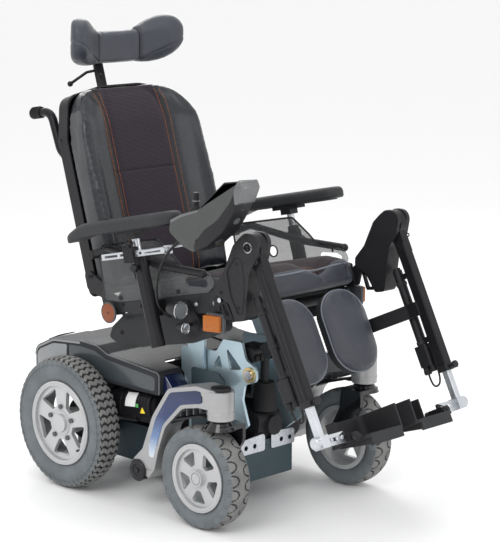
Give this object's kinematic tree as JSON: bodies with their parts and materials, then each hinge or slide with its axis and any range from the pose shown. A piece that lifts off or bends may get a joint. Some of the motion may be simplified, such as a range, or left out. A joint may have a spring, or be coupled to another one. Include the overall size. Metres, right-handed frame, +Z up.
{
  "type": "power wheelchair",
  "caption": "Rear-drive power wheelchair with sprung castor arms, tilting seat, reclining back, headrest, height-adjusting arms, hand control and powered elevating legrests.",
  "frame": {"origin": "on the floor, under the middle of the overall footprint", "axes": "+X forward, +Y to the occupant's left, +Z up"},
  "size_m": [1.2381, 0.67, 1.2291],
  "materials": {
    "chassis_blue": "satin",
    "battery_case": "matte",
    "cover_silver": "satin",
    "lid_grey": "gloss",
    "zinc_blue": "satin",
    "brass": "satin",
    "plate_silver": "satin",
    "motor_black": "satin",
    "actuator_black": "matte",
    "box_black": "matte",
    "tyre_grey": "matte",
    "rim_silver": "satin",
    "bolts_chrome": "polished",
    "arm_casting": "satin",
    "fork_black": "satin",
    "frame_grey": "satin",
    "seat_fabric": "woven",
    "back_fabric": "knitted",
    "panel_grey": "satin",
    "rod_black": "satin",
    "socket_black": "satin",
    "lamp_chrome": "polished",
    "amber": "gloss",
    "housing_black": "satin",
    "cable_black": "matte",
    "shell_black": "satin",
    "grip_rubber": "matte",
    "post_black": "satin",
    "leatherette": "grained",
    "arm_pad_pu": "matte",
    "post_silver": "satin",
    "pod_grey": "satin",
    "ring_steel": "satin",
    "stick_black": "satin",
    "leg_black": "satin",
    "foot_silver": "satin",
    "footplate_black": "satin"
  },
  "bodies": {
    "base": {"chassis_frame": "chassis_blue", "battery_pack": "battery_case", "rear_cover": "cover_silver", "top_cover": "lid_grey", "tilt_uprights": "zinc_blue", "tilt_bushes": "brass", "tie_down_plates": "plate_silver", "drive_motors": "motor_black", "tilt_actuator": "actuator_black", "control_box": "box_black"},
    "seat": {"seat_frame": "frame_grey", "seat_cushion": "seat_fabric", "side_panels": "panel_grey", "side_rods": "rod_black", "arm_sockets": "socket_black", "headlamps": "lamp_chrome", "indicators": "amber", "legrest_housings": "housing_black", "joystick_cable": "cable_black"},
    "back": {"back_shell": "shell_black", "back_cushion": "back_fabric", "push_handles": "grip_rubber"},
    "headrest_stalk": {"headrest_post": "post_black"},
    "headrest": {"headrest_pad": "leatherette"},
    "joystick": {"joystick_rail": "post_silver", "joystick_pod": "pod_grey"},
    "stick_ring": {"joystick_gimbal": "ring_steel"},
    "stick": {"joystick_stick": "stick_black"},
    "dial": {"speed_knob": "stick_black"},
    "button": {"power_button": "stick_black"},
    "drive_wheel_right": {"drive_tyre_right": "tyre_grey", "drive_rim_right": "rim_silver", "drive_wheel_bolts_right": "bolts_chrome"},
    "castor_arm_right": {"castor_arm_right": "arm_casting"},
    "castor_fork_right": {"castor_fork_right": "fork_black"},
    "castor_wheel_right": {"castor_tyre_right": "tyre_grey", "castor_rim_right": "rim_silver"},
    "armrest_right": {"arm_post_right": "post_silver", "arm_pad_right": "arm_pad_pu"},
    "leg_right": {"leg_tube_right": "leg_black", "leg_actuator_right": "leg_black"},
    "calf_right": {"calf_pad_right": "leatherette"},
    "foot_slider_right": {"foot_tube_right": "foot_silver"},
    "footplate_right": {"footplate_right": "footplate_black"},
    "latch_right": {"latch_lever_right": "post_black"},
    "drive_wheel_left": {"drive_tyre_left": "tyre_grey", "drive_rim_left": "rim_silver", "drive_wheel_bolts_left": "bolts_chrome"},
    "castor_arm_left": {"castor_arm_left": "arm_casting"},
    "castor_fork_left": {"castor_fork_left": "fork_black"},
    "castor_wheel_left": {"castor_tyre_left": "tyre_grey", "castor_rim_left": "rim_silver"},
    "armrest_left": {"arm_post_left": "post_silver", "arm_pad_left": "arm_pad_pu"},
    "leg_left": {"leg_tube_left": "leg_black", "leg_actuator_left": "leg_black"},
    "calf_left": {"calf_pad_left": "leatherette"},
    "foot_slider_left": {"foot_tube_left": "foot_silver"},
    "footplate_left": {"footplate_left": "footplate_black"},
    "latch_left": {"latch_lever_left": "post_black"}
  },
  "joints": [
    {"name": "seat_tilt", "type": "hinge", "parent": "base", "child": "seat", "pos_m": [0.003, 0, 0.361], "axis": [0, -1, 0], "range_deg": [-11.5, 6]},
    {"name": "back_recline", "type": "hinge", "parent": "seat", "child": "back", "pos_m": [-0.22928, 0, 0.52827], "axis": [0, -1, 0], "range_deg": [0, 30]},
    {"name": "headrest_height", "type": "slide", "parent": "back", "child": "headrest_stalk", "axis": [-0.289, 0, 0.9573], "range_m": [-0.015, 0.045]},
    {"name": "headrest_angle", "type": "hinge", "parent": "headrest_stalk", "child": "headrest", "pos_m": [-0.51253, 0, 1.13427], "axis": [0, -1, 0], "range_deg": [-12, 20]},
    {"name": "joystick_reach", "type": "slide", "parent": "seat", "child": "joystick", "axis": [0.9781, 0, 0.2079], "range_m": [0, 0.06], "deforming": ["joystick_cable"]},
    {"name": "stick_sideways", "type": "hinge", "parent": "joystick", "child": "stick_ring", "pos_m": [0.183, -0.31, 0.8], "axis": [1, 0, 0], "range_deg": [-18, 18], "stiffness_Nm_per_rad": 0.15},
    {"name": "stick_fore_aft", "type": "hinge", "parent": "stick_ring", "child": "stick", "pos_m": [0.183, -0.31, 0.8], "axis": [0, 1, 0], "range_deg": [-18, 18], "stiffness_Nm_per_rad": 0.15},
    {"name": "speed_dial", "type": "hinge", "parent": "joystick", "child": "dial", "pos_m": [0.249, -0.304, 0.842], "axis": [-0.6508, 0, 0.7593], "range_deg": [-135, 135]},
    {"name": "power_press", "type": "slide", "parent": "joystick", "child": "button", "axis": [0.6508, 0, -0.7593], "range_m": [0, 0.0015], "stiffness_N_per_m": 500},
    {"name": "drive_spin_right", "type": "hinge", "parent": "base", "child": "drive_wheel_right", "pos_m": [-0.335, -0.287, 0.178], "axis": [0, 1, 0], "continuous": true},
    {"name": "castor_arm_swing_right", "type": "hinge", "parent": "base", "child": "castor_arm_right", "pos_m": [-0.043, -0.27, 0.108], "axis": [0, -1, 0], "range_deg": [-4, 4], "stiffness_Nm_per_rad": 9000},
    {"name": "castor_swivel_right", "type": "hinge", "parent": "castor_arm_right", "child": "castor_fork_right", "pos_m": [0.226, -0.2684, 0.3], "axis": [0, 0, 1], "continuous": true},
    {"name": "castor_spin_right", "type": "hinge", "parent": "castor_fork_right", "child": "castor_wheel_right", "pos_m": [0.1714, -0.2684, 0.1315], "axis": [0, 1, 0], "continuous": true},
    {"name": "arm_height_right", "type": "slide", "parent": "seat", "child": "armrest_right", "axis": [-0.299, 0, 0.9542], "range_m": [0, 0.07]},
    {"name": "leg_elevation_right", "type": "hinge", "parent": "seat", "child": "leg_right", "pos_m": [0.329, -0.257, 0.732], "axis": [0, -1, 0], "range_deg": [0, 60]},
    {"name": "calf_pad_angle_right", "type": "hinge", "parent": "leg_right", "child": "calf_right", "pos_m": [0.29241, -0.097, 0.45659], "axis": [0, -1, 0], "range_deg": [-10, 10]},
    {"name": "foot_length_right", "type": "slide", "parent": "leg_right", "child": "foot_slider_right", "axis": [0.4462, 0, -0.8949], "range_m": [-0.04, 0.06]},
    {"name": "footplate_flip_right", "type": "hinge", "parent": "foot_slider_right", "child": "footplate_right", "pos_m": [0.5525, -0.17, 0.2868], "axis": [0.8949, 0, 0.4462], "range_deg": [0, 90]},
    {"name": "latch_release_right", "type": "hinge", "parent": "seat", "child": "latch_right", "pos_m": [0.224, -0.263, 0.588], "axis": [0, -1, 0], "range_deg": [0, 16], "stiffness_Nm_per_rad": 0.4},
    {"name": "drive_spin_left", "type": "hinge", "parent": "base", "child": "drive_wheel_left", "pos_m": [-0.335, 0.287, 0.178], "axis": [0, 1, 0], "continuous": true},
    {"name": "castor_arm_swing_left", "type": "hinge", "parent": "base", "child": "castor_arm_left", "pos_m": [-0.043, 0.27, 0.108], "axis": [0, -1, 0], "range_deg": [-4, 4], "stiffness_Nm_per_rad": 9000},
    {"name": "castor_swivel_left", "type": "hinge", "parent": "castor_arm_left", "child": "castor_fork_left", "pos_m": [0.226, 0.2684, 0.3], "axis": [0, 0, 1], "continuous": true},
    {"name": "castor_spin_left", "type": "hinge", "parent": "castor_fork_left", "child": "castor_wheel_left", "pos_m": [0.1714, 0.2684, 0.1315], "axis": [0, 1, 0], "continuous": true},
    {"name": "arm_height_left", "type": "slide", "parent": "seat", "child": "armrest_left", "axis": [-0.299, 0, 0.9542], "range_m": [0, 0.07]},
    {"name": "leg_elevation_left", "type": "hinge", "parent": "seat", "child": "leg_left", "pos_m": [0.329, 0.257, 0.732], "axis": [0, -1, 0], "range_deg": [0, 60]},
    {"name": "calf_pad_angle_left", "type": "hinge", "parent": "leg_left", "child": "calf_left", "pos_m": [0.29241, 0.097, 0.45659], "axis": [0, -1, 0], "range_deg": [-10, 10]},
    {"name": "foot_length_left", "type": "slide", "parent": "leg_left", "child": "foot_slider_left", "axis": [0.4462, 0, -0.8949], "range_m": [-0.04, 0.06]},
    {"name": "footplate_flip_left", "type": "hinge", "parent": "foot_slider_left", "child": "footplate_left", "pos_m": [0.5525, 0.17, 0.2868], "axis": [-0.8949, 0, -0.4462], "range_deg": [0, 90]},
    {"name": "latch_release_left", "type": "hinge", "parent": "seat", "child": "latch_left", "pos_m": [0.224, 0.263, 0.588], "axis": [0, -1, 0], "range_deg": [0, 16], "stiffness_Nm_per_rad": 0.4}
  ]
}
